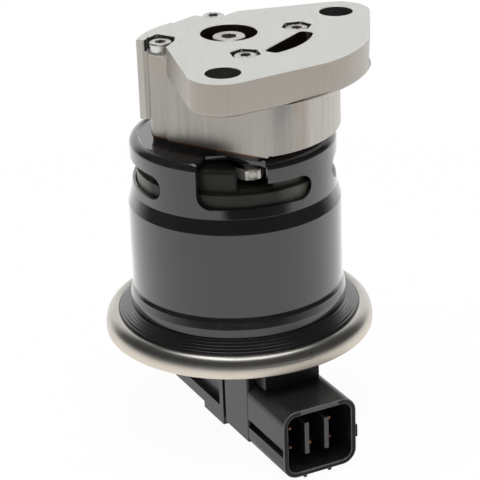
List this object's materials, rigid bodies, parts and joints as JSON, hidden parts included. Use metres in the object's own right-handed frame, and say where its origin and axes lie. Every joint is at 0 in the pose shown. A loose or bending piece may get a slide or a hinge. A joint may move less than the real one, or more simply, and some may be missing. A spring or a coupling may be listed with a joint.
{
  "type": "egr valve",
  "caption": "Solenoid exhaust gas recirculation valve: flanged gas housing with a poppet, coil in a black windowed can, crimped ring, and a lift sensor cap with an angled connector.",
  "frame": {"origin": "the valve axis, in the mounting face of the flange, at the centre of the gas inlet port", "axes": "+Z out of the mounting face along the valve axis, +X towards the gas outlet slot, Y along the line of the two mounting bolts"},
  "size_m": [0.08, 0.0746, 0.1084],
  "materials": {
    "valve_housing": "satin, machined faces",
    "valve_seat": "heat-tinted",
    "stem_bushing": "satin",
    "deposit_shield": "heat-tinted",
    "pintle": "turned",
    "housing_screws": "satin zinc",
    "plain_washers": "satin zinc",
    "lock_washers": "satin zinc",
    "housing_nuts": "satin zinc",
    "base_gasket": "brown fibre",
    "spacer_plate": "satin black",
    "stem_seal": "matte",
    "solenoid_can": "gloss black",
    "pole_collar": "turned",
    "guide_sleeve": "drawn",
    "bobbin": "moulded",
    "coil_winding": "enamelled copper",
    "coil_cover": "moulded, olive",
    "armature": "ground",
    "armature_clip": "spring steel",
    "return_spring": "spring steel",
    "pole_piece": "turned",
    "base_flange": "gloss black",
    "cap_seal": "matte",
    "crimp_ring": "satin, rolled",
    "sensor_cap": "moulded black",
    "terminals": "copper alloy",
    "coil_blades": "copper alloy",
    "resistor_board": "ceramic",
    "sensor_plunger": "ground",
    "wiper_carrier": "moulded, natural",
    "wipers": "spring bronze",
    "sensor_spring": "spring steel"
  },
  "bodies": {
    "valve_body": {"valve_housing": "valve_housing", "valve_seat": "valve_seat", "stem_bushing": "stem_bushing", "deposit_shield": "deposit_shield", "housing_screws": "housing_screws", "plain_washers": "plain_washers", "lock_washers": "lock_washers", "housing_nuts": "housing_nuts", "base_gasket": "base_gasket", "spacer_plate": "spacer_plate", "stem_seal": "stem_seal", "solenoid_can": "solenoid_can", "pole_collar": "pole_collar", "guide_sleeve": "guide_sleeve", "bobbin": "bobbin", "coil_winding": "coil_winding", "coil_cover": "coil_cover", "return_spring": "return_spring", "pole_piece": "pole_piece", "base_flange": "base_flange", "cap_seal": "cap_seal", "crimp_ring": "crimp_ring", "sensor_cap": "sensor_cap", "terminals": "terminals", "coil_blades": "coil_blades", "resistor_board": "resistor_board", "sensor_spring": "sensor_spring"},
    "pintle_assembly": {"pintle": "pintle", "armature": "armature", "armature_clip": "armature_clip"},
    "sensor_slide": {"sensor_plunger": "sensor_plunger", "wiper_carrier": "wiper_carrier", "wipers": "wipers"}
  },
  "joints": [
    {"name": "valve_lift", "type": "slide", "parent": "valve_body", "child": "pintle_assembly", "axis": [0, 0, -1], "range_m": [0, 0.0045], "stiffness_N_per_m": 1500, "springref_m": -0.004, "deforming": ["return_spring"]},
    {"name": "sensor_follow", "type": "slide", "parent": "valve_body", "child": "sensor_slide", "axis": [0, 0, -1], "range_m": [0, 0.0045], "deforming": ["sensor_spring"]}
  ],
  "couplings": [
    {"joint": "sensor_follow", "follows": "valve_lift", "ratio": 1}
  ]
}
